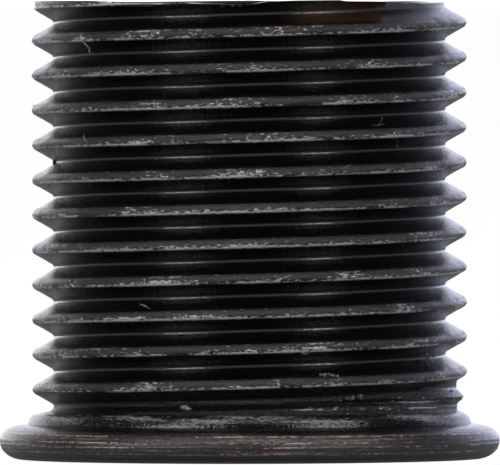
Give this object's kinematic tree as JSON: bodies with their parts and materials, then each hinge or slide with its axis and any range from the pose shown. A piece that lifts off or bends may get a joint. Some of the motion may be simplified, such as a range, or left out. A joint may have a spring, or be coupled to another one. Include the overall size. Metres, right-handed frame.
{
  "type": "threaded insert",
  "caption": "Thin-walled flanged steel bushing with an outer and an inner thread of the same pitch, a rounded flange and a collar, for repairing a worn threaded hole.",
  "frame": {"origin": "centre of the flange's flat outer face, on which the insert stands", "axes": "+Z along the bore from the flange to the free end; -Y is the side that the picture shows"},
  "size_m": [0.0178, 0.0178, 0.0165],
  "materials": {
    "black_oxide_steel": "black oxide over turned steel, oiled, rubbed brighter on the thread crests"
  },
  "bodies": {
    "root": {"threaded_insert": "black_oxide_steel"}
  },
  "joints": []
}
